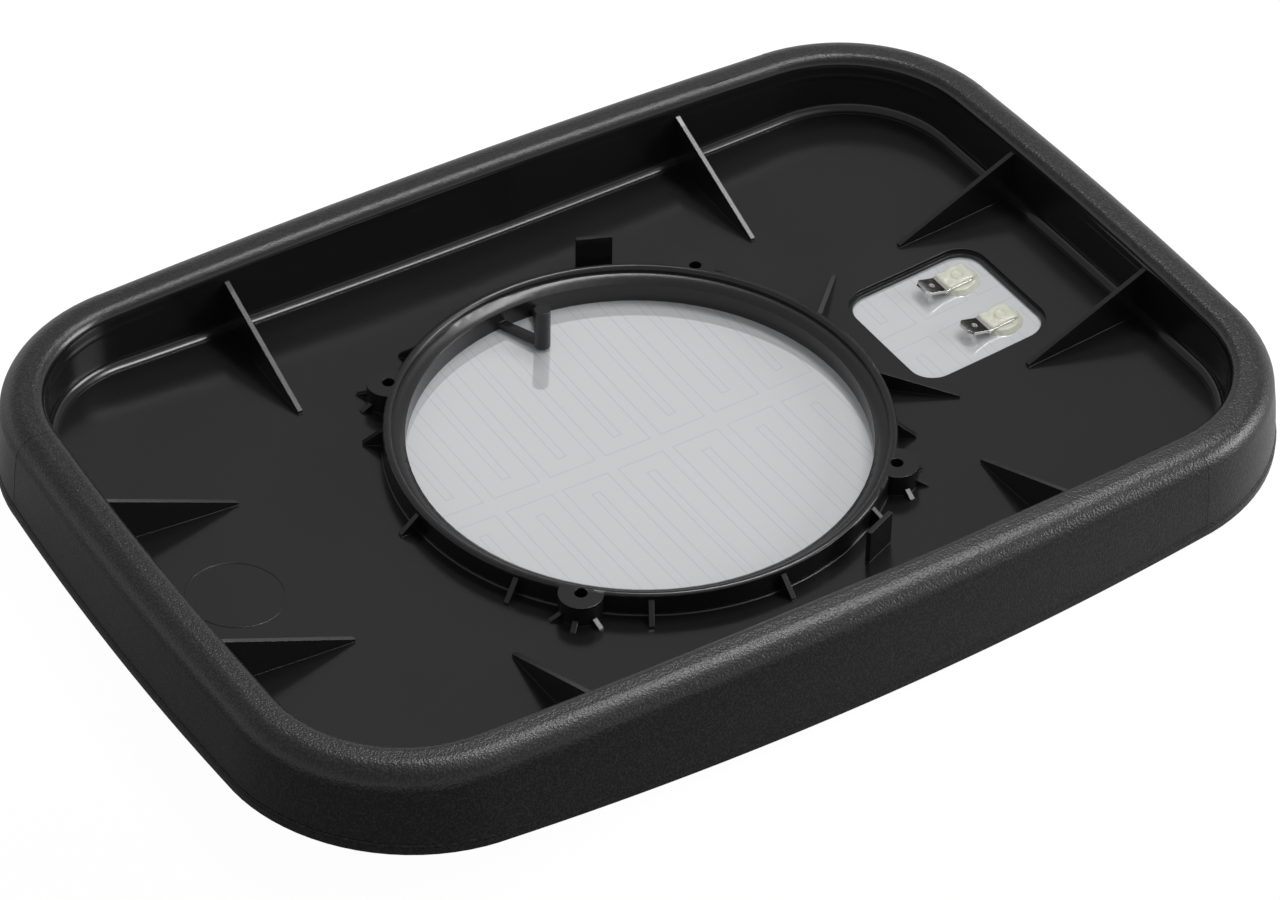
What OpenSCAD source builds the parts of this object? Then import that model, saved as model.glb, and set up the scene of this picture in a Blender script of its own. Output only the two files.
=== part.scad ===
// Convex mirror glass of a truck or van mirror, in its moulded holder tray.
// Millimetres. +Z points to the back, the side that clips to the mirror head,
// and the origin is the foremost point of the glass, at its middle.
// Layers follow the sphere of the glass: a "depth" is measured from its front.

/* [Mirror glass] */
// Radius of the convex front of the glass
mirror_radius = 1350; // [900:10:2400]
// Thickness of the glass
glass_t = 3; // [2:0.1:4]
// Gap between the edge of the glass and the inside of the skirt
glass_gap = 0.6; // [0.2:0.1:1.5]

/* [Heater foil] */
// Thickness of the foil with its adhesive
foil_t = 0.5; // [0.2:0.1:1]
// How far the foil stays inside the edge of the glass
foil_margin = 8; // [4:0.5:14]

/* [Tray outline] */
// Length inside the rim, at the middle
tray_l = 280.2; // [240:0.2:340]
// Width inside the rim, at the middle
tray_w = 188.6; // [160:0.2:240]
// Corner radius inside the rim
corner_r = 36; // [25:1:50]
// Radius of the slightly bowed short sides
short_side_r = 1250; // [800:10:3000]
// Radius of the slightly bowed long sides
long_side_r = 2100; // [1000:10:4000]

/* [Tray section] */
// Height of the rim above the foremost point of the glass
rim_h = 31; // [27:0.5:38]
// Thickness of the floor
floor_t = 2; // [1.4:0.1:3]
// Thickness of the walls
wall_t = 2.2; // [1.6:0.1:2.8]
// Width from the inside of the rim to the top of the skirt
rim_w = 12; // [11:0.1:13]
// Outer radius on top of the rim
rim_round = 6; // [4:0.1:7]
// Inner radius on top of the rim
rim_edge = 3; // [1:0.1:3.5]
// Reach of the skirt at its foot, from the inside of the rim
skirt_reach = 13.6; // [13.2:0.1:17]
// Radius of the bow in the skirt
skirt_bow = 120; // [80:1:240]
// Thickness of the lip in front of the glass
lip_t = 2.2; // [1.4:0.1:3]
// How far the lip covers the edge of the glass
lip_cover = 2.4; // [1.5:0.1:4]
// How far the lip stands proud of the skirt
bead_proud = 0.3; // [0.2:0.1:1]

/* [Collar] */
// Outer diameter of the collar
collar_d = 134.2; // [120:0.2:150]
// Diameter of the opening through the tray
opening_d = 122.4; // [100:0.2:126]
// Height of the collar above the floor at its foot
collar_h = 6.5; // [5:0.1:9]
// Width of the ring on top of the collar
ring_w = 2.3; // [1.6:0.1:3.5]
// Step from the ring down to the shelf
shelf_drop = 1.7; // [0.8:0.1:2.6]
// Radius of the rounded shelf
shelf_r = 5; // [4.2:0.1:8]

/* [Screw bosses] */
// Number of bosses round the collar
boss_n = 4; // [3:1:4]
// Diameter of the circle through the bosses
boss_circle = 135.6; // [124:0.5:150]
// Diameter of a boss
boss_d = 11.6; // [9:0.2:13]
// Diameter of the screw hole
screw_hole_d = 3.4; // [2.5:0.1:4.5]
// How far the boss stays below the top of the collar
boss_drop = 0.15; // [0.1:0.05:0.6]
// Reach of the small fins at the foot of a boss
fin_reach = 3; // [2:0.5:5]
// Height of the small fins at the foot of a boss
fin_h = 2.4; // [1:0.1:4]

/* [Ribs and gussets] */
// Thickness of the ribs and gussets
rib_t = 1.4; // [0.8:0.1:2]
// Reach of a small rib from the collar
rib_reach = 5.2; // [3:0.1:8]
// Length and width of the two long braces, from the collar along each axis
brace_run = 16.6; // [10:0.1:20]
// Offset of the braces from the middle at the collar
brace_y = 13; // [6:0.5:16]
// Spacing of the gussets along the long walls
long_gusset_x = 142; // [120:1:170]
// Length of the gussets on the long walls
long_gusset_l = 39; // [25:1:46]
// How far those gussets stay below the rim
long_gusset_drop = 4.5; // [1:0.5:8]
// Spacing of the gussets along the short walls
short_gusset_y = 60; // [50:1:90]
// Length of the gussets on the short walls
short_gusset_l = 37; // [25:0.5:42]
// How far the gussets on the short walls stay below the rim
short_gusset_drop = 3; // [1:0.5:8]

/* [Stop tabs] */
// Width of an upright tab beside the collar
tab_w = 10; // [6:0.5:14]
// Height of a tab above the floor
tab_h = 10; // [6:0.5:14]
// Thickness of a tab
tab_t = 1.3; // [0.8:0.1:2.5]
// Distance of the tabs from the middle
tab_r = 73.9; // [70:0.1:84]
// Angle of the tabs from the long axis
tab_angle = 67.5; // [55:0.5:80]

/* [Cable peg] */
// Diameter of the peg in the opening
peg_d = 4.4; // [3:0.1:6]
// Height of the peg above its arms
peg_h = 10.3; // [6:0.1:16]
// Distance of the peg from the middle
peg_y = 48.8; // [42:0.1:52]
// Spread of the two arms where they leave the opening's edge
peg_spread = 11.6; // [8:0.1:18]
// Width of an arm
peg_arm_w = 2; // [1.4:0.1:3]

/* [Connection window] */
// Distance of the window from the middle
window_x = 77.4; // [72:0.1:84]
// Length of the window
window_l = 41; // [30:0.5:46]
// Width of the window
window_w = 39.4; // [30:0.2:48]
// Corner radius of the window
window_r = 7; // [3:0.5:12]
// Width of the step round the window
window_step = 1.2; // [0.6:0.1:2]

/* [Blade terminals] */
// Width of a blade
blade_w = 6.3; // [4.8:0.1:8]
// Thickness of a blade
blade_t = 0.8; // [0.5:0.1:1]
// Length of the raised part of a blade
blade_l = 6.5; // [5:0.1:9]
// Length of the foot that is riveted to the foil
foot_l = 9.6; // [8:0.1:11]
// Width of the foot
foot_w = 6.8; // [6.4:0.1:8]
// Gap between the foot and the foil
foot_gap = 1.2; // [0.8:0.1:1.6]
// Distance from the end of the foot to the rivet
rivet_end = 3.4; // [2.6:0.1:5]
// Angle that the blade is bent up from its foot
blade_tilt = 19; // [10:1:40]
// Diameter of the hole in a blade
blade_hole_d = 1.8; // [1:0.1:2.5]
// Distance of the rivets from the inner edge of the window
rivet_inset = 32; // [28:0.2:34]
// Spacing of the two rivets
rivet_pitch = 20; // [16:0.2:22]
// How far the two blades together sit off the middle
pair_shift = 0.8; // [-1.5:0.1:1.5]
// Diameter of a rivet's head
rivet_d = 3.4; // [2.6:0.1:5]
// Diameter of a drop of sealant
sealant_d = 13.2; // [11:0.2:14]
// Height of a drop of sealant
sealant_h = 2.4; // [2.3:0.1:3]

/* [Hidden] */
$fn = 72;
fine = 720;
eps = 0.01;
// Thickness and angle by which the corners lap over the sides
lap = 0.05;
lap_angle = 0.5;
// How far the cutting shapes reach below the origin
slab_low = 8;
black = [0.11, 0.11, 0.12];

// Depths of the layers from the front of the glass
foil_depth = glass_t;
plate_depth = foil_depth + foil_t;
floor_depth = plate_depth + floor_t;

// Height of a layer above the origin, at a distance r from the middle
function layer_z(depth, r) = mirror_radius - sqrt(pow(mirror_radius - depth, 2) - r * r);

// The outline is eight arcs that run into each other: four bowed sides and four corners
half_l = tray_l / 2;
half_w = tray_w / 2;
// How far the cutting shapes reach out from the middle
bowl_r = half_l + half_w;
side_x = half_l - short_side_r;
side_y = half_w - long_side_r;
side_gap = norm([side_x, side_y]);
reach_s = short_side_r - corner_r;
reach_l = long_side_r - corner_r;
along = (reach_s * reach_s - reach_l * reach_l + side_gap * side_gap) / (2 * side_gap);
across = sqrt(reach_s * reach_s - along * along);
corner_x = side_x - along * side_x / side_gap - across * side_y / side_gap;
corner_y = along * side_y / side_gap - across * side_x / side_gap;
corner_from = atan2(corner_y, corner_x - side_x);
corner_to = atan2(corner_y - side_y, corner_x);

// Place of the rivets, which line up with the window
rivet_x = window_x + rivet_inset;

// Section of the rim and skirt: the skirt is one big arc from its top to its foot
skirt_foot_z = 3;
skirt_top = [rim_w, rim_h - rim_round];
skirt_foot = [skirt_reach, skirt_foot_z];
chord = skirt_foot - skirt_top;
chord_l = norm(chord);
sagitta_l = sqrt(skirt_bow * skirt_bow - chord_l * chord_l / 4);
bow_centre = (skirt_top + skirt_foot) / 2 + sagitta_l / chord_l * [chord[1], -chord[0]];
round_z = rim_h - rim_round;
round_u = bow_centre[0] + sqrt(pow(skirt_bow - rim_round, 2) - pow(round_z - bow_centre[1], 2));
round_at = [round_u, round_z];
round_dir = (round_at - bow_centre) / norm(round_at - bow_centre);
function skirt_u(z) = bow_centre[0] + sqrt(skirt_bow * skirt_bow - pow(z - bow_centre[1], 2));

// The glass clears the skirt at the corners, where it reaches highest
corner_reach = norm([corner_x, corner_y]) + corner_r + skirt_reach;
glass_u = skirt_u(layer_z(glass_t, corner_reach)) - wall_t - glass_gap;
lip_u = skirt_u(layer_z(0, half_w)) + bead_proud;
lip_inner_u = glass_u - lip_cover;

// Collar
collar_r = collar_d / 2;
opening_r = opening_d / 2;
collar_foot = layer_z(floor_depth, collar_r);
collar_top = collar_foot + collar_h;
ring_round = min(1, ring_w / 2 - 0.1);
shelf_x = collar_r - ring_w;
shelf_z = collar_top - shelf_drop;

boss_top = collar_top - boss_drop;

// Directions from a corner's centre to the two ends of its arc
corner_a = [cos(corner_from), sin(corner_from)];
corner_b = [cos(corner_to), sin(corner_to)];

// The outline, moved outwards by u; the corners are lapped over the sides
module outline(u) {
    cut = corner_r + u + 20;
    difference() {
        intersection() {
            translate([side_x, 0]) circle(r = short_side_r + u, $fn = fine);
            translate([-side_x, 0]) circle(r = short_side_r + u, $fn = fine);
            translate([0, side_y]) circle(r = long_side_r + u, $fn = fine);
            translate([0, -side_y]) circle(r = long_side_r + u, $fn = fine);
        }
        for (sx = [-1, 1], sy = [-1, 1])
            polygon([for (p = [[0, 0], cut * corner_a, cut * (corner_a + corner_b), cut * corner_b])
                     [sx * (corner_x + p[0]), sy * (corner_y + p[1])]]);
    }
    for (sx = [-1, 1], sy = [-1, 1])
        translate([sx * corner_x, sy * corner_y]) circle(r = corner_r + u + lap);
}

// A plate of the outline, tall enough to cut through every layer
module slab(u) {
    translate([0, 0, -slab_low]) linear_extrude(slab_low + rim_h + 10) outline(u);
}

// The space between two layers, both curved as the front of the glass
module bowl(from, to) {
    rotate_extrude($fn = 180)
        intersection() {
            translate([0, mirror_radius])
                difference() {
                    circle(r = mirror_radius - from, $fn = fine);
                    circle(r = mirror_radius - to, $fn = fine);
                }
            translate([0, -slab_low]) square([bowl_r, slab_low + 2 * rim_h]);
        }
}

// Sweeps the rim's section round the outline, one turned piece for each of its arcs.
// The corners are a hair thicker and longer, so that the sides run into them.
module swept_rim() {
    for (turn = [0, 180])
        rotate([0, 0, turn]) {
            translate([side_x, 0, 0]) rotate([0, 0, -corner_from])
                rotate_extrude(angle = 2 * corner_from, $fn = fine)
                    translate([short_side_r, 0]) rim_section(0);
            translate([0, side_y, 0]) rotate([0, 0, corner_to])
                rotate_extrude(angle = 180 - 2 * corner_to, $fn = fine)
                    translate([long_side_r, 0]) rim_section(0);
            for (start = [corner_from, 180 - corner_to])
                translate([start == corner_from ? corner_x : -corner_x, corner_y, 0])
                    rotate([0, 0, start - lap_angle])
                        rotate_extrude(angle = corner_to - corner_from + 2 * lap_angle)
                            translate([corner_r, 0]) rim_section(lap);
        }
}

// Section of the rim, moved inwards by inset
module rim_shape(inset) {
    difference() {
        intersection() {
            translate(bow_centre) circle(r = skirt_bow - inset, $fn = fine);
            translate([inset, -slab_low - inset]) square([3 * rim_w, rim_h + slab_low]);
        }
        polygon([round_at, round_at + [0, 3 * rim_round], round_at + 3 * rim_round * [2, 1],
                 round_at + 6 * rim_round * round_dir]);
    }
    translate(round_at) circle(r = rim_round - inset);
}

module rim_section(thicker) {
    difference() {
        union() {
            difference() {
                rim_shape(-thicker);
                translate([-2 * rim_edge, rim_h - rim_edge]) square([3 * rim_edge, 2 * rim_edge]);
            }
            translate([rim_edge, rim_h - rim_edge]) circle(r = rim_edge + thicker);
        }
        rim_shape(wall_t + thicker);
    }
}

module rim() {
    difference() {
        intersection() {
            swept_rim();
            bowl(-lip_t, 2 * rim_h);
        }
        intersection() {
            slab(wall_t + 1);
            bowl(-2 * lip_t, plate_depth);
        }
    }
}

module lip() {
    intersection() {
        difference() {
            slab(lip_u);
            slab(lip_inner_u);
        }
        bowl(-lip_t, 0);
    }
}

module floor_plate() {
    intersection() {
        slab(wall_t / 2);
        bowl(plate_depth, floor_depth);
    }
}

// Section of the collar: a round-topped ring, a step and a rounded shelf
module collar_section() {
    foot = collar_foot - floor_t;
    translate([opening_r, foot]) square([collar_r - opening_r, shelf_z - shelf_r - foot + 2]);
    intersection() {
        translate([shelf_x, shelf_z - shelf_r]) circle(r = shelf_r);
        translate([opening_r, foot]) square([shelf_x - opening_r + eps, shelf_z - foot]);
    }
    translate([shelf_x, foot]) square([ring_w, collar_top - ring_round - foot]);
    for (x = [shelf_x + ring_round, collar_r - ring_round])
        translate([x, collar_top - ring_round]) circle(r = ring_round);
    translate([shelf_x + ring_round, foot]) square([ring_w - 2 * ring_round, collar_top - foot]);
}

// An upright rib in the XZ plane, from its root to its toe
module rib(root, toe, top, toe_h) {
    low = collar_foot - floor_t;
    rotate([90, 0, 0])
        linear_extrude(rib_t, center = true)
            polygon([[root, low], [toe, low], [toe, toe_h], [root, top]]);
}

module collar_ribs() {
    toe = collar_r + rib_reach;
    for (a = [30:30:330])
        rotate([0, 0, a]) rib(collar_r - ring_w / 2, toe, collar_top - 0.4, layer_z(floor_depth, toe) + 0.5);
}

// Two braces run past the corners of the window
module braces() {
    start_x = sqrt(collar_r * collar_r - brace_y * brace_y) - ring_w / 2;
    length = norm([brace_run, brace_run]);
    toe_h = layer_z(floor_depth, norm([start_x + brace_run, brace_y + brace_run])) + 0.6;
    for (s = [-1, 1])
        translate([start_x, s * brace_y, 0]) rotate([0, 0, s * 45]) rib(0, length, collar_top - 0.8, toe_h);
}

// Bosses outside the crest of the ring, with small fins at their feet
module bosses() {
    difference() {
        for (i = [0:boss_n - 1])
            rotate([0, 0, 45 + i * 360 / boss_n])
                translate([boss_circle / 2, 0, collar_foot - floor_t])
                    cylinder(d = boss_d, h = boss_top - collar_foot + floor_t);
        translate([0, 0, shelf_z - shelf_r]) cylinder(r = collar_r - ring_w / 2, h = rim_h);
    }
    for (i = [0:boss_n - 1])
        rotate([0, 0, 45 + i * 360 / boss_n])
            translate([boss_circle / 2, 0, 0])
                for (a = [-50, 0, 50])
                    rotate([0, 0, a])
                        rib(boss_d / 2 - 1, boss_d / 2 + fin_reach, collar_foot + fin_h, collar_foot + 0.7);
}

module screw_holes() {
    for (i = [0:boss_n - 1])
        rotate([0, 0, 45 + i * 360 / boss_n])
            translate([boss_circle / 2, 0, collar_foot - floor_t / 2])
                cylinder(d = screw_hole_d, h = collar_h + floor_t);
}

module tabs() {
    foot = layer_z(floor_depth, tab_r);
    for (s = [-1, 1])
        rotate([0, 0, s * tab_angle])
            translate([tab_r - tab_t / 2, -tab_w / 2, foot - floor_t]) cube([tab_t, tab_w, tab_h + floor_t]);
}

module gusset(tip, wall, top) {
    tip_h = layer_z(floor_depth, tip[1]) + 0.8;
    rotate([90, 0, 0])
        linear_extrude(rib_t, center = true)
            polygon([[tip[0], 0], [wall, 0], [wall, top], [tip[0], tip_h]]);
}

module gussets() {
    long_x = long_gusset_x / 2;
    wall_y = side_y + sqrt(long_side_r * long_side_r - long_x * long_x);
    tip_y = wall_y - long_gusset_l;
    short_y = short_gusset_y / 2;
    wall_x = side_x + sqrt(short_side_r * short_side_r - short_y * short_y);
    tip_x = wall_x - short_gusset_l;
    for (sx = [-1, 1], sy = [-1, 1]) {
        translate([sx * long_x, 0, 0]) rotate([0, 0, sy * 90])
            gusset([tip_y, norm([long_x, tip_y])], wall_y + wall_t / 2, rim_h - long_gusset_drop);
        translate([0, sy * short_y, 0]) rotate([0, 0, 90 - sx * 90])
            gusset([tip_x, norm([tip_x, short_y])], wall_x + wall_t / 2, rim_h - short_gusset_drop);
    }
}

module rounded(l, w, r) {
    translate([0, r]) square([l, w - 2 * r]);
    translate([r, 0]) square([l - 2 * r, w]);
    for (x = [r, l - r], y = [r, w - r])
        translate([x, y]) circle(r = r);
}

module window() {
    step_z = layer_z(floor_depth - floor_t / 2, window_x);
    translate([window_x, -window_w / 2, 0]) linear_extrude(2 * rim_h) rounded(window_l, window_w, window_r);
    intersection() {
        translate([window_x - window_step, -window_w / 2 - window_step, 0]) linear_extrude(2 * rim_h)
            rounded(window_l + 2 * window_step, window_w + 2 * window_step, window_r + window_step);
        bowl(floor_depth - floor_t / 2, 2 * rim_h);
    }
}

// Peg on two arms that lean over the foil from the edge of the opening
module peg() {
    arm_z = layer_z(plate_depth, opening_r) + 0.3;
    root_x = peg_spread / 2;
    root_y = sqrt(pow(opening_r + 1, 2) - root_x * root_x);
    arm_l = norm([root_x, root_y - peg_y]);
    translate([0, peg_y, arm_z]) {
        cylinder(d = peg_d, h = floor_t + peg_h);
        for (s = [-1, 1])
            rotate([0, 0, atan2(root_y - peg_y, s * root_x)])
                translate([0, -peg_arm_w / 2, 0]) cube([arm_l, peg_arm_w, floor_t]);
    }
}

module holder() {
    color(black) {
        difference() {
            union() {
                rim();
                lip();
                floor_plate();
                intersection() {
                    union() {
                        rotate_extrude() collar_section();
                        collar_ribs();
                        braces();
                        bosses();
                        tabs();
                        gussets();
                    }
                    bowl(plate_depth + floor_t / 2, 2 * rim_h);
                }
            }
            cylinder(r = opening_r, h = 2 * rim_h);
            window();
            screw_holes();
        }
        peg();
    }
}

module mirror_glass() {
    color([0.72, 0.76, 0.78])
        intersection() {
            slab(glass_u);
            bowl(0, foil_depth);
        }
}

module heater_foil() {
    color([0.75, 0.77, 0.78])
        intersection() {
            slab(glass_u - foil_margin);
            bowl(foil_depth, plate_depth);
        }
}

// Places children on the foil, square to its surface
module on_foil(x, side, gap) {
    y = pair_shift + side * rivet_pitch / 2;
    r = norm([x, y]);
    turn = atan2(y, x);
    translate([x, y, layer_z(plate_depth, r) + gap])
        rotate([0, 0, turn]) rotate([0, -asin(r / (mirror_radius - plate_depth)), 0]) rotate([0, 0, -turn])
            children();
}

module foot_plan(hole_d) {
    r = foot_w / 4;
    bend = rivet_end - foot_l;
    difference() {
        union() {
            translate([bend, -foot_w / 2]) square([foot_l - r, foot_w]);
            translate([bend, r - foot_w / 2]) square([foot_l, foot_w - 2 * r]);
            for (y = [r - foot_w / 2, foot_w / 2 - r])
                translate([rivet_end - r, y]) circle(r = r);
        }
        circle(d = hole_d);
    }
}

module blade_plan() {
    tip = blade_w / 5;
    difference() {
        polygon([[0, -blade_w / 2], [0, blade_w / 2], [blade_l - tip, blade_w / 2],
                 [blade_l, blade_w / 2 - tip], [blade_l, tip - blade_w / 2], [blade_l - tip, -blade_w / 2]]);
        translate([blade_l * 0.45, 0]) circle(d = blade_hole_d);
    }
}

module terminal_shape(hole_d) {
    translate([0, 0, foot_gap]) linear_extrude(blade_t) foot_plan(hole_d);
    translate([rivet_end - foot_l, 0, foot_gap + blade_t / 2]) {
        rotate([90, 0, 0]) cylinder(d = blade_t, h = foot_w, center = true);
        rotate([0, 0, 180]) rotate([0, -blade_tilt, 0])
            translate([0, 0, -blade_t / 2]) linear_extrude(blade_t) blade_plan();
    }
}

// A rivet's foot, shank and low head
module rivet_shape() {
    head_z = foot_gap + blade_t;
    head_h = rivet_d / 10;
    cylinder(d = rivet_d * 1.3, h = foot_gap);
    cylinder(d = rivet_d / 2, h = head_z + head_h);
    translate([0, 0, head_z]) cylinder(d = rivet_d, h = head_h);
}

// A drop of sealant, flat on top and round at its edge
module drop_shape() {
    edge = sealant_h + 1;
    rotate_extrude()
        intersection() {
            translate([0, -1]) union() {
                square([sealant_d / 2 - edge, edge]);
                translate([sealant_d / 2 - edge, 0]) circle(r = edge);
            }
            square([sealant_d, edge]);
        }
}

module terminal(side) {
    color("silver") on_foil(rivet_x, side, eps) terminal_shape(rivet_d / 2);
}

module rivet(side) {
    color("gray") on_foil(rivet_x, side, eps) rivet_shape();
}

module sealant(side) {
    color([0.86, 0.9, 0.82])
        difference() {
            on_foil(rivet_x + rivet_end - foot_l / 2, side, 2 * eps) drop_shape();
            on_foil(rivet_x, side, eps) {
                terminal_shape(rivet_d / 4);
                translate([0, 0, -1]) cylinder(d = rivet_d * 1.3, h = 1 + foot_gap);
                cylinder(d = rivet_d, h = foot_gap + blade_t + rivet_d / 10);
            }
        }
}

holder();
mirror_glass();
heater_foil();
terminal(1);  // blade_terminal_a
terminal(-1);  // blade_terminal_b
rivet(1);  // rivet_a
rivet(-1);  // rivet_b
sealant(1);  // sealant_a
sealant(-1);  // sealant_b
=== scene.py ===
"""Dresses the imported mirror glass: its moulded tray, heater foil, terminals and studio."""

import math

import bpy
from bpy.props import FloatProperty, FloatVectorProperty, PointerProperty
from mathutils import Matrix, Vector


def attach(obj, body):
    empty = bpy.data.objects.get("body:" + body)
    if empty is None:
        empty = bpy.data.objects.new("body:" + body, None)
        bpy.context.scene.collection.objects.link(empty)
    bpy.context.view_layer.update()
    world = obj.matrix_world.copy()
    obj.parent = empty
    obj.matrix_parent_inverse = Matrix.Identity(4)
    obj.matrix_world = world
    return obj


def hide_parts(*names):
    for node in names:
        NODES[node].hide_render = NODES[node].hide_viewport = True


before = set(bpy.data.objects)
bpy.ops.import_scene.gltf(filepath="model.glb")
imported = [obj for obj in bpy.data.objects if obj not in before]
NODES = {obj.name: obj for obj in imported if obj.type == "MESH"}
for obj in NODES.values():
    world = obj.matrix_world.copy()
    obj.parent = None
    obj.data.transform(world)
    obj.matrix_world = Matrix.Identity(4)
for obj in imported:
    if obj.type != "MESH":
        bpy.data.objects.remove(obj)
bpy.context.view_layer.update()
MM = 0.001

bl_info = {
    "name": "Heated mirror glass",
    "version": (1, 0, 0),
    "blender": (4, 5, 0),
    "location": "3D View > Sidebar > Mirror glass",
    "description": "Finishes, small mouldings and a studio for a mirror glass in its tray",
    "category": "Object",
}


# Shader nodes written as Python expressions


class Value:
    """A shader socket that takes part in Python expressions."""

    def __init__(self, finish, socket):
        self.finish = finish
        self.socket = socket

    def maths(self, operation, *others):
        return self.finish.add("ShaderNodeMath", {"operation": operation}, self, *others)

    def __add__(self, other):
        return self.maths("ADD", other)

    def __sub__(self, other):
        return self.maths("SUBTRACT", other)

    def __mul__(self, other):
        return self.maths("MULTIPLY", other)

    def __truediv__(self, other):
        return self.maths("DIVIDE", other)

    def __pow__(self, other):
        return self.maths("POWER", other)

    def __rsub__(self, other):
        return self.finish.add("ShaderNodeMath", {"operation": "SUBTRACT"}, other, self)

    __radd__ = __add__
    __rmul__ = __mul__

    def size(self):
        return self.maths("ABSOLUTE")

    def below(self, other):
        return self.maths("MINIMUM", other)

    def above(self, other):
        return self.maths("MAXIMUM", other)

    def over(self, other):
        return self.maths("GREATER_THAN", other)

    def ramp(self, low, high):
        """0 at low, 1 at high, and smooth between them."""
        smooth = {"interpolation_type": "SMOOTHSTEP"}
        return self.finish.add("ShaderNodeMapRange", smooth, self, low, high)


class Finish:
    """A procedural material on a Principled shader."""

    def __init__(self, name, **sockets):
        self.material = bpy.data.materials.new(name)
        self.material.use_nodes = True
        self.tree = self.material.node_tree
        self.shader = self.tree.nodes["Principled BSDF"]
        self.place = self.add("ShaderNodeTexCoord", {}, output="Object")
        self.set(**sockets)

    def feed(self, socket, value):
        if isinstance(value, Value):
            self.tree.links.new(value.socket, socket)
        else:
            socket.default_value = value

    def add(self, kind, settings, *values, output=0, **named):
        node = self.tree.nodes.new(kind)
        for key, setting in settings.items():
            setattr(node, key, setting)
        for index, value in enumerate(values):
            self.feed(node.inputs[index], value)
        for key, value in named.items():
            self.feed(node.inputs[key.replace("_", " ")], value)
        return Value(self, node.outputs[output])

    def set(self, **sockets):
        for key, value in sockets.items():
            self.feed(self.shader.inputs[key.replace("_", " ")], value)
        return self

    def axes(self):
        """X, Y and Z on the piece, in millimetres."""
        split = self.add("ShaderNodeSeparateXYZ", {}, self.place)
        outputs = split.socket.node.outputs
        return [Value(self, outputs[index]) / MM for index in range(3)]

    def stretched(self, *scale):
        """The place on the piece, scaled by so much along each axis."""
        return self.add("ShaderNodeVectorMath", {"operation": "MULTIPLY"}, self.place, scale)

    def noise(self, grain, detail=2.0, place=None):
        """Noise whose lumps are about grain metres wide."""
        place = place or self.place
        return self.add("ShaderNodeTexNoise", {}, Vector=place, Scale=1 / grain, Detail=detail)

    def blend(self, amount, first, second):
        """A colour that goes from first to second as amount goes from 0 to 1."""
        mix = self.add("ShaderNodeMix", {"data_type": "RGBA"}, output=2)
        for index, value in ((0, amount), (6, first), (7, second)):
            self.feed(mix.socket.node.inputs[index], value)
        return mix

    def mix_vectors(self, amount, first, second):
        """A vector that goes from first to second as amount goes from 0 to 1."""
        mix = self.add("ShaderNodeMix", {"data_type": "VECTOR"}, output=1)
        for index, value in ((0, amount), (4, first), (5, second)):
            self.feed(mix.socket.node.inputs[index], value)
        return mix

    def bump(self, height, depth, normal=None):
        """Relief that is depth metres high where height is 1."""
        named = {"Normal": normal} if normal else {}
        return self.add("ShaderNodeBump", {}, Height=height, Distance=depth, Strength=1.0, **named)

    def worn_edges(self, radius):
        """The surface's normal with its sharp edges rounded by radius metres."""
        return self.add("ShaderNodeBevel", {"samples": 6}, Radius=radius)


# The outline of the tray, as eight arcs


class Outline:
    """The rounded, slightly bowed outline inside the rim, in millimetres."""

    def __init__(self, tray):
        half_l, half_w = tray.length / MM / 2, tray.width / MM / 2
        self.corner_r = tray.corner_radius / MM
        self.short_r, self.long_r = tray.short_side_radius / MM, tray.long_side_radius / MM
        self.side_x, self.side_y = half_l - self.short_r, half_w - self.long_r
        gap = math.hypot(self.side_x, self.side_y)
        reach_s, reach_l = self.short_r - self.corner_r, self.long_r - self.corner_r
        along = (reach_s**2 - reach_l**2 + gap**2) / (2 * gap)
        across = math.sqrt(reach_s**2 - along**2)
        self.corner_x = self.side_x - along * self.side_x / gap - across * self.side_y / gap
        self.corner_y = along * self.side_y / gap - across * self.side_x / gap
        self.start = math.atan2(self.corner_y, self.corner_x - self.side_x)
        self.end = math.atan2(self.corner_y - self.side_y, self.corner_x)

    def points(self, outwards, per_side, per_corner):
        """Points round the outline, moved outwards by so many millimetres."""
        start, end = self.start, self.end
        right = (self.side_x, 0, self.short_r, -start, start, per_side)
        corner = (self.corner_x, self.corner_y, self.corner_r, start, end, per_corner)
        top = (0, self.side_y, self.long_r, end, math.pi - end, per_side)
        start, end = math.pi - end, math.pi - start
        other = (-self.corner_x, self.corner_y, self.corner_r, start, end, per_corner)
        half = []
        for x, y, radius, first, last, count in (right, corner, top, other):
            for step in range(count):
                angle = first + (last - first) * step / count
                reach = radius + outwards
                half.append((x + reach * math.cos(angle), y + reach * math.sin(angle)))
        return half + [(-x, -y) for x, y in half]

    def distance(self, x, y):
        """How far a shader's point lies outside the outline."""
        x, y = x.size(), y.size()
        short = ((x - self.side_x) ** 2 + y**2) ** 0.5 - self.short_r
        long = (x**2 + (y - self.side_y) ** 2) ** 0.5 - self.long_r
        corner = ((x - self.corner_x) ** 2 + (y - self.corner_y) ** 2) ** 0.5 - self.corner_r
        in_corner = x.over(self.corner_x) * y.over(self.corner_y)
        return in_corner * corner + (1 - in_corner) * short.above(long)


# Sizes and colours that a user would change


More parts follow.
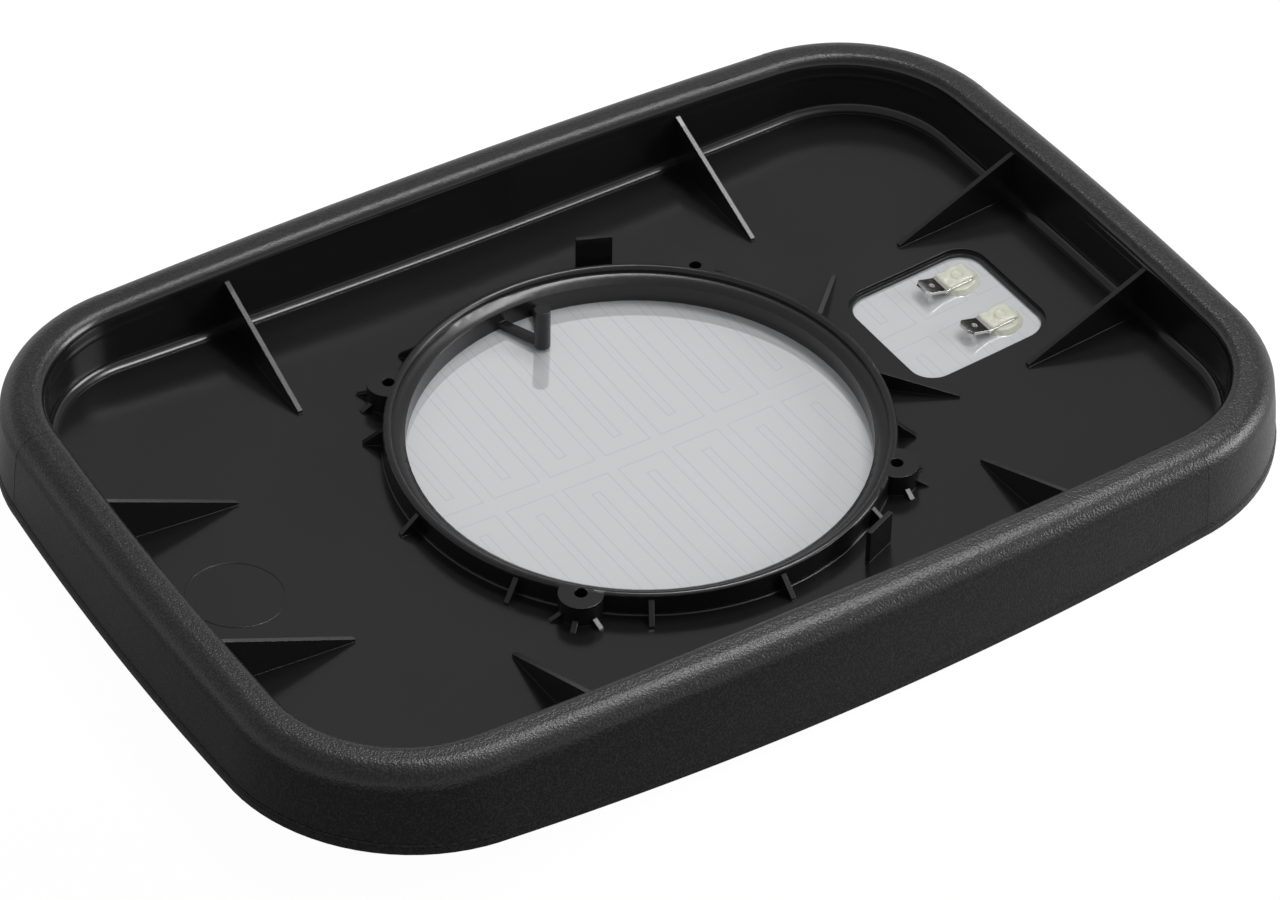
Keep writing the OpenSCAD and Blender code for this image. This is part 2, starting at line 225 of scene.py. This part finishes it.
class TraySettings(bpy.types.PropertyGroup):
    """The moulded tray."""

    length: FloatProperty(
        name="Length", description="Length inside the rim", default=0.2802, unit="LENGTH"
    )
    width: FloatProperty(
        name="Width", description="Width inside the rim", default=0.1886, unit="LENGTH"
    )
    corner_radius: FloatProperty(
        name="Corner radius", description="Corner radius inside the rim", default=0.036, unit="LENGTH"
    )
    short_side_radius: FloatProperty(
        name="Short side radius", description="Radius of the bowed short sides", default=1.25,
        unit="LENGTH",
    )
    long_side_radius: FloatProperty(
        name="Long side radius", description="Radius of the bowed long sides", default=2.1, unit="LENGTH"
    )
    mirror_radius: FloatProperty(
        name="Mirror radius", description="Radius of the convex front of the glass", default=1.35,
        unit="LENGTH",
    )
    skirt_reach: FloatProperty(
        name="Skirt reach", description="How far the skirt's foot stands outside the rim", default=0.0136,
        unit="LENGTH",
    )
    floor_depth: FloatProperty(
        name="Floor depth", description="From the front of the glass to the floor", default=0.0055,
        unit="LENGTH",
    )
    fillet: FloatProperty(
        name="Fillet", description="Radius where the walls meet the floor", default=0.0025, unit="LENGTH"
    )
    collar_diameter: FloatProperty(
        name="Collar diameter", description="Outer diameter of the collar", default=0.1342, unit="LENGTH"
    )
    small_fillet: FloatProperty(
        name="Small fillet", description="Radius at the foot of the collar", default=0.0006, unit="LENGTH"
    )
    mark: FloatVectorProperty(
        name="Mark", description="Place and radius of the moulded ring",
        default=(-0.1204, -0.0015, 0.0125), subtype="XYZ_LENGTH",
    )
    plastic: FloatVectorProperty(
        name="Plastic", description="Colour of the plastic", default=(0.006, 0.006, 0.0064),
        subtype="COLOR",
    )
    grain: FloatProperty(
        name="Grain", description="Width of the skirt's grain", default=0.0006, unit="LENGTH"
    )
    grain_depth: FloatProperty(
        name="Grain depth", description="Depth of the skirt's grain", default=0.00013, unit="LENGTH"
    )


class FoilSettings(bpy.types.PropertyGroup):
    """The heater foil and its terminals."""

    film: FloatVectorProperty(
        name="Film", description="Colour of the foil", default=(0.74, 0.75, 0.77), subtype="COLOR"
    )
    pitch: FloatProperty(
        name="Track pitch", description="Spacing of the printed tracks", default=0.017, unit="LENGTH"
    )
    first_slot: FloatProperty(
        name="First slot", description="How far the first slot sits off the middle", default=0.0017,
        unit="LENGTH",
    )
    line: FloatProperty(
        name="Line", description="Width of the gap between tracks", default=0.0002, unit="LENGTH"
    )
    metal: FloatVectorProperty(
        name="Metal", description="Colour of the tinned blades", default=(0.72, 0.71, 0.68),
        subtype="COLOR",
    )
    sealant: FloatVectorProperty(
        name="Sealant", description="Colour of the sealant", default=(0.7, 0.71, 0.6), subtype="COLOR"
    )
    plate_depth: FloatProperty(
        name="Plate depth", description="From the front of the glass to the foil", default=0.0035,
        unit="LENGTH",
    )
    rivets: FloatVectorProperty(
        name="Rivets", description="Place of the rivets' middle, and half their spacing",
        default=(0.1094, 0.0008, 0.01), subtype="XYZ_LENGTH",
    )
    foot: FloatVectorProperty(
        name="Foot", description="Length, width and height of the sealed foot",
        default=(0.0094, 0.0073, 0.0024), subtype="XYZ_LENGTH",
    )


class StageSettings(bpy.types.PropertyGroup):
    """The camera, the lamps and the floor."""

    azimuth: FloatProperty(
        name="Azimuth", description="The camera's bearing round the object", default=math.radians(-33.21),
        subtype="ANGLE",
    )
    elevation: FloatProperty(
        name="Elevation", description="The camera's angle above the floor", default=math.radians(40.62),
        subtype="ANGLE",
    )
    roll: FloatProperty(
        name="Roll", description="The camera's tilt", default=math.radians(1.31), subtype="ANGLE"
    )
    camera: FloatVectorProperty(
        name="Camera", description="Place of the camera", default=(-0.50329, -0.76893, 0.79221),
        subtype="TRANSLATION",
    )
    lens: FloatProperty(name="Lens", description="Focal length in millimetres", default=130.26)
    key: FloatProperty(
        name="Key", description="Power of the strip light above", default=12.0, unit="POWER"
    )
    top: FloatProperty(
        name="Top", description="Power of the wide softbox above", default=3.0, unit="POWER"
    )
    side: FloatProperty(
        name="Side", description="Power of the low softbox at the right", default=15.0, unit="POWER"
    )
    sky: FloatProperty(name="Sky", description="Strength of the light from all round", default=0.45)
    horizon: FloatProperty(
        name="Horizon", description="Strength of the light near the horizon", default=0.95
    )
    floor_size: FloatProperty(
        name="Floor", description="Width of the floor", default=4.0, unit="LENGTH"
    )


# Helpers for the pieces


def dress(obj, finish):
    """Gives a piece one material."""
    obj.data.materials.clear()
    obj.data.materials.append(finish.material)


def finished(obj):
    """Puts a piece's place into its mesh, and lets it ride with the object."""
    bpy.ops.object.select_all(action="DESELECT")
    obj.select_set(True)
    bpy.context.view_layer.objects.active = obj
    bpy.ops.object.transform_apply(location=True, rotation=True, scale=True)
    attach(obj, "root")


def layer_height(tray, depth, x, y):
    """Height of a layer of the dished tray, in millimetres."""
    radius = tray.mirror_radius / MM
    return radius - math.sqrt((radius - depth) ** 2 - x * x - y * y)


def fillet_section(radius, side):
    """Section of a fillet on one side of a wall, sunk a little into the wall and the floor."""
    sunk = 0.3
    angles = [math.radians(angle) for angle in range(0, 91, 10)]
    arc = [(side * radius * (1 - math.sin(a)), radius * (1 - math.cos(a))) for a in angles]
    return arc + [(-side * sunk, radius), (-side * sunk, -sunk), (side * radius, -sunk)]


def closed_line(points):
    """A closed curve that runs straight between points given in millimetres."""
    bpy.ops.object.select_all(action="DESELECT")
    bpy.ops.curve.primitive_bezier_circle_add(radius=0.1, location=(0, 0, 0))
    curve = bpy.context.object
    curve.data.splines.clear()
    spline = curve.data.splines.new("POLY")
    spline.points.add(len(points) - 1)
    for point, place in zip(spline.points, points):
        point.co = (*[value * MM for value in place], 1)
    spline.use_cyclic_u = True
    return curve


def bead(name, path, profile, finish):
    """A mould detail of the tray: a closed profile swept along a closed path, in millimetres."""
    section = closed_line([(x, y, 0) for x, y in profile])
    obj = closed_line(path)
    obj.name = name
    obj.data.twist_mode = "Z_UP"
    obj.data.bevel_mode = "OBJECT"
    obj.data.bevel_object = section
    bpy.ops.object.convert(target="MESH")
    obj = bpy.context.object
    bpy.data.objects.remove(section)
    bpy.ops.object.mode_set(mode="EDIT")
    bpy.ops.mesh.select_all(action="SELECT")
    bpy.ops.mesh.remove_doubles(threshold=0.01 * MM)
    bpy.ops.mesh.normals_make_consistent(inside=False)
    bpy.ops.object.mode_set(mode="OBJECT")
    bpy.ops.object.shade_smooth_by_angle(angle=math.radians(40))
    dress(obj, finish)
    finished(obj)


# Finishes


def moulded_plastic(tray):
    """Black plastic: satin inside the rim, duller on ribs, finely grained on the rim and the skirt, with
    painted shade in the grain's pits and a painted sheen on its peaks.
    """
    finish = Finish("moulded plastic", IOR=1.47)
    x, y, _ = finish.axes()
    outside = Outline(tray).distance(x, y)
    rim_starts, rim_grained = 0.3, 1.2
    grained = outside.ramp(rim_starts, rim_grained)
    cloud = finish.noise(0.03, 3)
    tooling = finish.noise(0.02, 4, finish.stretched(0.25, 0.25, 9.0))
    own = finish.add("ShaderNodeNewGeometry", {}, output="Normal")
    upwards = finish.add("ShaderNodeSeparateXYZ", {}, own, output=2)
    tilted = 1 - upwards.ramp(0.97, 0.99)
    ribs = tilted * (1 - outside.ramp(-3.4, -2.8))
    grain = finish.noise(tray.grain, 1.5)
    # The grain's colour is darker in its pits and lighter on its peaks: painted shade in the pits and a
    # painted sheen on the peaks, following the grain's relief.
    pits, peaks = (0.0015, 0.0015, 0.0015, 1), (0.013, 0.013, 0.0128, 1)
    painted_grain_shading = finish.blend(grain.ramp(0.42, 0.66), pits, peaks)
    finish.set(
        Base_Color=finish.blend(grained, (*tray.plastic, 1), painted_grain_shading),
        Roughness=0.13 + 0.05 * cloud + 0.04 * tooling + grained * 0.15 + ribs * 0.09,
    )
    rounded = finish.mix_vectors(outside.ramp(-0.7, -0.3), finish.worn_edges(0.00022), own)
    satin_depth = 0.000012
    satin = finish.bump(tooling + finish.noise(0.0009) * 0.4, satin_depth, rounded)
    finish.set(Normal=finish.bump(grain * grained, tray.grain_depth, satin))
    return finish


def mirror_finish():
    """Silvered glass: a mirror in front, green at its ground edge."""
    finish = Finish("silvered glass", IOR=1.52, Coat_Weight=1.0, Coat_Roughness=0.0)
    shape = finish.add("ShaderNodeNewGeometry", {}, output="Normal")
    facing = finish.add("ShaderNodeSeparateXYZ", {}, shape, output=2)
    front = (0 - facing).ramp(0.6, 0.8)
    finish.set(
        Base_Color=finish.blend(front, (0.12, 0.22, 0.18, 1), (0.86, 0.88, 0.89, 1)),
        Metallic=front,
        Roughness=0.22 - 0.2 * front + 0.01 * finish.noise(0.05),
    )
    return finish


def foil_finish(foil):
    """Pale heater film, with the fine gaps between its printed tracks."""
    finish = Finish("heater film", Metallic=0.5, IOR=1.5)
    x, y, _ = finish.axes()
    pitch, line = foil.pitch / MM, foil.line / MM
    # Half widths of a slot, a gap and the middle band, and where a slot ends, in millimetres
    half_slot, slot_end, half_gap, half_band = 1.2, 8.3, 1.65, 3.0
    from_slot = (x + foil.first_slot / MM).maths("PINGPONG", pitch / 2)
    slot = (from_slot - half_slot).above(slot_end - y.size())
    band = (y.size() - half_band).below(pitch / 2 - half_gap - from_slot)
    gap = 1.0 - slot.size().below(band.size()).ramp(line * 0.3, line)
    cloud = finish.noise(0.04, 3)
    film = finish.blend(cloud, (*[c * 0.96 for c in foil.film], 1), (*foil.film, 1))
    finish.set(
        Base_Color=finish.blend(gap * 0.25, film, (0.3, 0.31, 0.33, 1)),
        Roughness=0.02 + 0.03 * cloud + 0.1 * gap,
    )
    return finish


def tinned_metal(foil):
    """Smooth tinned brass."""
    finish = Finish("tinned metal", Metallic=1.0)
    wear = finish.noise(0.0012, 3)
    finish.set(
        Base_Color=finish.blend(wear, (*[c * 0.9 for c in foil.metal], 1), (*foil.metal, 1)),
        Roughness=0.06 + 0.05 * wear,
        Normal=finish.bump(wear, 0.000004, finish.worn_edges(0.00014)),
    )
    return finish


def sealant_finish(foil):
    """Soft, milky sealant that lets a little of the foil through."""
    finish = Finish("sealant", IOR=1.41)
    cloud = finish.noise(0.002, 3)
    thin, thick = (*foil.sealant, 1), (*[c * 0.88 for c in foil.sealant], 1)
    finish.set(
        Base_Color=finish.blend(cloud.ramp(0.35, 0.65), thin, thick),
        Roughness=0.1 + 0.12 * cloud,
        Alpha=0.74 + 0.2 * cloud,
        Normal=finish.bump(cloud, 0.00005),
    )
    return finish


# Operators


class MIRROR_OT_tray(bpy.types.Operator):
    """Finish the moulded tray, with the fillet where its walls meet the floor"""

    bl_idname = "mirror.tray"
    bl_label = "Tray"

    def execute(self, context):
        tray = context.scene.mirror_tray
        plastic = moulded_plastic(tray)
        dress(NODES["holder"], plastic)
        outline = Outline(tray)
        depth = tray.floor_depth / MM

        def on_layer(layer, points):
            return [(x, y, layer_height(tray, layer, x, y)) for x, y in points]

        def circle(x, y, radius):
            turns = [math.radians(turn) for turn in range(0, 360, 3)]
            return [(x + radius * math.cos(turn), y + radius * math.sin(turn)) for turn in turns]

        path = on_layer(depth, outline.points(0, per_side=40, per_corner=24))
        bead("wall_fillet", path, fillet_section(tray.fillet / MM, -1), plastic)
        path = on_layer(0, outline.points(tray.skirt_reach / MM, per_side=60, per_corner=40))
        chamfer = [(-0.3, -0.2), (0.29, -0.2), (0.29, 0), (0.02, 0.9), (-0.3, 0.9)]
        bead("skirt_foot", path, chamfer, plastic)
        path = on_layer(depth, circle(0, 0, tray.collar_diameter / MM / 2))
        bead("collar_fillet", path, fillet_section(tray.small_fillet / MM, 1), plastic)
        path = on_layer(depth, circle(*[value / MM for value in tray.mark]))
        ridge = [(0.3, -0.2), (0.18, 0.14), (-0.18, 0.14), (-0.3, -0.2)]
        bead("moulded_ring", path, ridge, plastic)
        return {"FINISHED"}


class MIRROR_OT_glass(bpy.types.Operator):
    """Finish the silvered glass"""

    bl_idname = "mirror.glass"
    bl_label = "Glass"

    def execute(self, context):
        dress(NODES["mirror_glass"], mirror_finish())
        return {"FINISHED"}


class MIRROR_OT_heater(bpy.types.Operator):
    """Finish the heater foil, its blades, rivets and sealant"""

    bl_idname = "mirror.heater"
    bl_label = "Heater"

    def drop(self, name, node, foil, place, finish):
        """Sealant spread over a terminal's foot and round its rivet."""
        length, width, height = foil.foot
        under, foot_round = 0.15 * MM, 0.9 * MM
        spread_foot, spread_top, spread_height = 6.3 * MM, 5.0 * MM, 1.4 * MM
        ring_radius, ring_thickness = 1.6 * MM, 0.32 * MM
        bpy.ops.object.select_all(action="DESELECT")
        bpy.ops.mesh.primitive_cone_add(
            vertices=48, radius1=spread_foot, radius2=spread_top, depth=spread_height,
            location=(-0.4 * MM, -0.2 * MM, 0.6 * MM),
        )
        spread = bpy.context.object
        spread.scale = (1, 0.96, 1)
        bpy.ops.mesh.primitive_torus_add(
            major_radius=ring_radius, minor_radius=ring_thickness, location=(0, 0, height),
            major_segments=40,
        )
        ring = bpy.context.object
        bpy.ops.mesh.primitive_cube_add(size=1, location=(-0.7 * MM, 0.4 * MM, (height - under) / 2))
        obj = bpy.context.object
        obj.name = name
        obj.scale = (length, width, height + under)
        bpy.ops.object.transform_apply(location=True, rotation=False, scale=True)
        bpy.ops.object.mode_set(mode="EDIT")
        bpy.ops.mesh.select_all(action="SELECT")
        bpy.ops.mesh.bevel(offset=foot_round, segments=3, affect="EDGES")
        bpy.ops.object.mode_set(mode="OBJECT")
        for other in (spread, ring):
            other.select_set(True)
        bpy.context.view_layer.objects.active = obj
        bpy.ops.object.join()
        skin = obj.modifiers.new("one skin", "REMESH")
        skin.mode, skin.voxel_size = "VOXEL", 0.2 * MM
        flow = obj.modifiers.new("uneven", "DISPLACE")
        flow.texture = bpy.data.textures.new(name, "CLOUDS")
        flow.texture.noise_scale = 2.5 * MM
        flow.strength = 0.5 * MM
        smooth = obj.modifiers.new("soft", "SMOOTH")
        smooth.factor, smooth.iterations = 0.5, 5
        bpy.ops.object.convert(target="MESH")
        bpy.ops.object.shade_smooth()
        obj.matrix_world = place
        dress(obj, finish)
        finished(obj)
        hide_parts(node)

    def execute(self, context):
        foil, tray = context.scene.mirror_foil, context.scene.mirror_tray
        dress(NODES["heater_foil"], foil_finish(foil))
        metal, soft = tinned_metal(foil), sealant_finish(foil)
        x, middle, half = foil.rivets
        for side, y in (("a", middle - half), ("b", middle + half)):
            dress(NODES["blade_terminal_" + side], metal)
            dress(NODES["rivet_" + side], metal)
            out, turn = math.hypot(x, y), math.atan2(y, x)
            height = layer_height(tray, foil.plate_depth / MM, x / MM, y / MM) * MM
            lean = -math.asin(out / (tray.mirror_radius - foil.plate_depth))
            place = (
                Matrix.Translation((x, y, height)) @ Matrix.Rotation(turn, 4, "Z")
                @ Matrix.Rotation(lean, 4, "Y") @ Matrix.Rotation(-turn, 4, "Z")
            )
            self.drop("drop_" + side, "sealant_" + side, foil, place, soft)
        return {"FINISHED"}


class MIRROR_OT_stage(bpy.types.Operator):
    """Set up the floor, the lamps, the sky and the camera"""

    bl_idname = "mirror.stage"
    bl_label = "Stage"

    def floor(self, stage):
        """A floor that shows as plain white, and lights the object as a grey whose colour is painted
        darker in front, a painted shade that the object mirrors.
        """
        just_below = -0.0005
        bpy.ops.object.select_all(action="DESELECT")
        bpy.ops.mesh.primitive_plane_add(size=stage.floor_size, location=(0, 0, just_below))
        floor = bpy.context.object
        floor.name = "floor"
        finish = Finish("pale floor", Roughness=0.7)
        x, y, _ = finish.axes()
        painted_shade_grey, pale, white = (0.06, 0.06, 0.06, 1), (0.55, 0.55, 0.55, 1), (1, 1, 1, 1)
        # The floor's colour is painted darker towards the front left: painted shade that the object's
        # near left side mirrors.
        finish.set(Base_Color=finish.blend((x + y).ramp(-290, 190), painted_shade_grey, pale))
        seen = finish.add("ShaderNodeLightPath", {})
        rays = seen.socket.node.outputs
        glossy, through = rays["Is Glossy Ray"], rays["Is Transmission Ray"]
        mirrored = Value(finish, glossy).above(Value(finish, through))
        light = finish.add("ShaderNodeEmission", {}, white, 1.15)
        shown = (seen * 0.85).above(mirrored * 0.08)
        own = Value(finish, finish.shader.outputs[0])
        mixed = finish.add("ShaderNodeMixShader", {}, shown, own, light)
        below = finish.add("ShaderNodeNewGeometry", {}, output="Backfacing")
        clear = finish.add("ShaderNodeBsdfTransparent", {})
        mixed = finish.add("ShaderNodeMixShader", {}, below, mixed, clear)
        surface = finish.tree.nodes["Material Output"].inputs["Surface"]
        finish.tree.links.new(mixed.socket, surface)
        dress(floor, finish)

    def lamp(self, name, place, width, height, power):
        """A rectangular lamp that faces the object."""
        bpy.ops.object.light_add(type="AREA", location=place)
        lamp = bpy.context.object
        lamp.name = name
        lamp.data.shape = "RECTANGLE"
        lamp.data.size, lamp.data.size_y, lamp.data.energy = width, height, power
        lamp.rotation_euler = (-Vector(place)).to_track_quat("-Z", "Y").to_euler()

    def sky(self, stage):
        """Light from all round, stronger near the horizon, behind a plain white background."""
        world = bpy.context.scene.world or bpy.data.worlds.new("studio")
        bpy.context.scene.world = world
        world.use_nodes = True
        nodes, links = world.node_tree.nodes, world.node_tree.links
        seen = nodes.new("ShaderNodeLightPath")
        mixed = nodes.new("ShaderNodeMixShader")
        white = nodes.new("ShaderNodeBackground")
        white.inputs["Color"].default_value = (1, 1, 1, 1)
        light = nodes["Background"]
        light.inputs["Color"].default_value = (1, 1, 1, 1)
        towards = nodes.new("ShaderNodeSeparateXYZ")
        fade = nodes.new("ShaderNodeMapRange")
        fade.interpolation_type = "SMOOTHSTEP"
        for index, value in ((1, 0.15), (2, 0.5), (3, stage.horizon), (4, stage.sky)):
            fade.inputs[index].default_value = value
        links.new(nodes.new("ShaderNodeTexCoord").outputs["Generated"], towards.inputs[0])
        links.new(towards.outputs["Z"], fade.inputs[0])
        links.new(fade.outputs[0], light.inputs["Strength"])
        links.new(seen.outputs["Is Camera Ray"], mixed.inputs["Fac"])
        links.new(light.outputs["Background"], mixed.inputs[1])
        links.new(white.outputs["Background"], mixed.inputs[2])
        links.new(mixed.outputs["Shader"], nodes["World Output"].inputs["Surface"])

    def camera(self, stage):
        """The camera at its place, turned by its bearing, angle and tilt."""
        azimuth, elevation = stage.azimuth, stage.elevation
        level = math.cos(elevation)
        back = Vector((math.sin(azimuth) * level, -math.cos(azimuth) * level, math.sin(elevation)))
        sideways = Vector((0, 0, 1)).cross(back).normalized()
        upright = back.cross(sideways)
        right = sideways * math.cos(stage.roll) + upright * math.sin(stage.roll)
        turned = Matrix((right, back.cross(right), back)).transposed()
        bpy.ops.object.camera_add(location=stage.camera, rotation=turned.to_euler())
        camera = bpy.context.object
        camera.data.lens = stage.lens
        camera.data.sensor_width = 36.0
        camera.data.sensor_fit = "HORIZONTAL"
        camera.data.clip_end = 20.0
        bpy.context.scene.camera = camera

    def execute(self, context):
        stage = context.scene.mirror_stage
        self.floor(stage)
        self.lamp("strip above", (0.62, 0.22, 1.34), 1.0, 0.22, stage.key)
        self.lamp("softbox above", (0.6, -0.6, 1.6), 1.1, 1.1, stage.top)
        self.lamp("softbox right", (1.3, -0.75, 0.55), 0.8, 0.6, stage.side)
        self.sky(stage)
        self.camera(stage)
        context.scene.view_settings.view_transform = "Standard"
        return {"FINISHED"}


class MIRROR_PT_panel(bpy.types.Panel):
    """The pieces of the mirror glass"""

    bl_label = "Mirror glass"
    bl_idname = "MIRROR_PT_panel"
    bl_space_type = "VIEW_3D"
    bl_region_type = "UI"
    bl_category = "Mirror glass"

    def draw(self, context):
        for operator in OPERATORS:
            self.layout.operator(operator.bl_idname)


GROUPS = {"mirror_tray": TraySettings, "mirror_foil": FoilSettings, "mirror_stage": StageSettings}
OPERATORS = (MIRROR_OT_tray, MIRROR_OT_glass, MIRROR_OT_heater, MIRROR_OT_stage)


def register():
    for group in (*GROUPS.values(), *OPERATORS, MIRROR_PT_panel):
        bpy.utils.register_class(group)
    for name, group in GROUPS.items():
        setattr(bpy.types.Scene, name, PointerProperty(type=group))


def unregister():
    for name in GROUPS:
        delattr(bpy.types.Scene, name)
    for group in reversed((*GROUPS.values(), *OPERATORS, MIRROR_PT_panel)):
        bpy.utils.unregister_class(group)


def main():
    register()
    bpy.ops.mirror.tray()
    bpy.ops.mirror.glass()
    bpy.ops.mirror.heater()
    bpy.ops.mirror.stage()


if __name__ == "__main__":
    main()
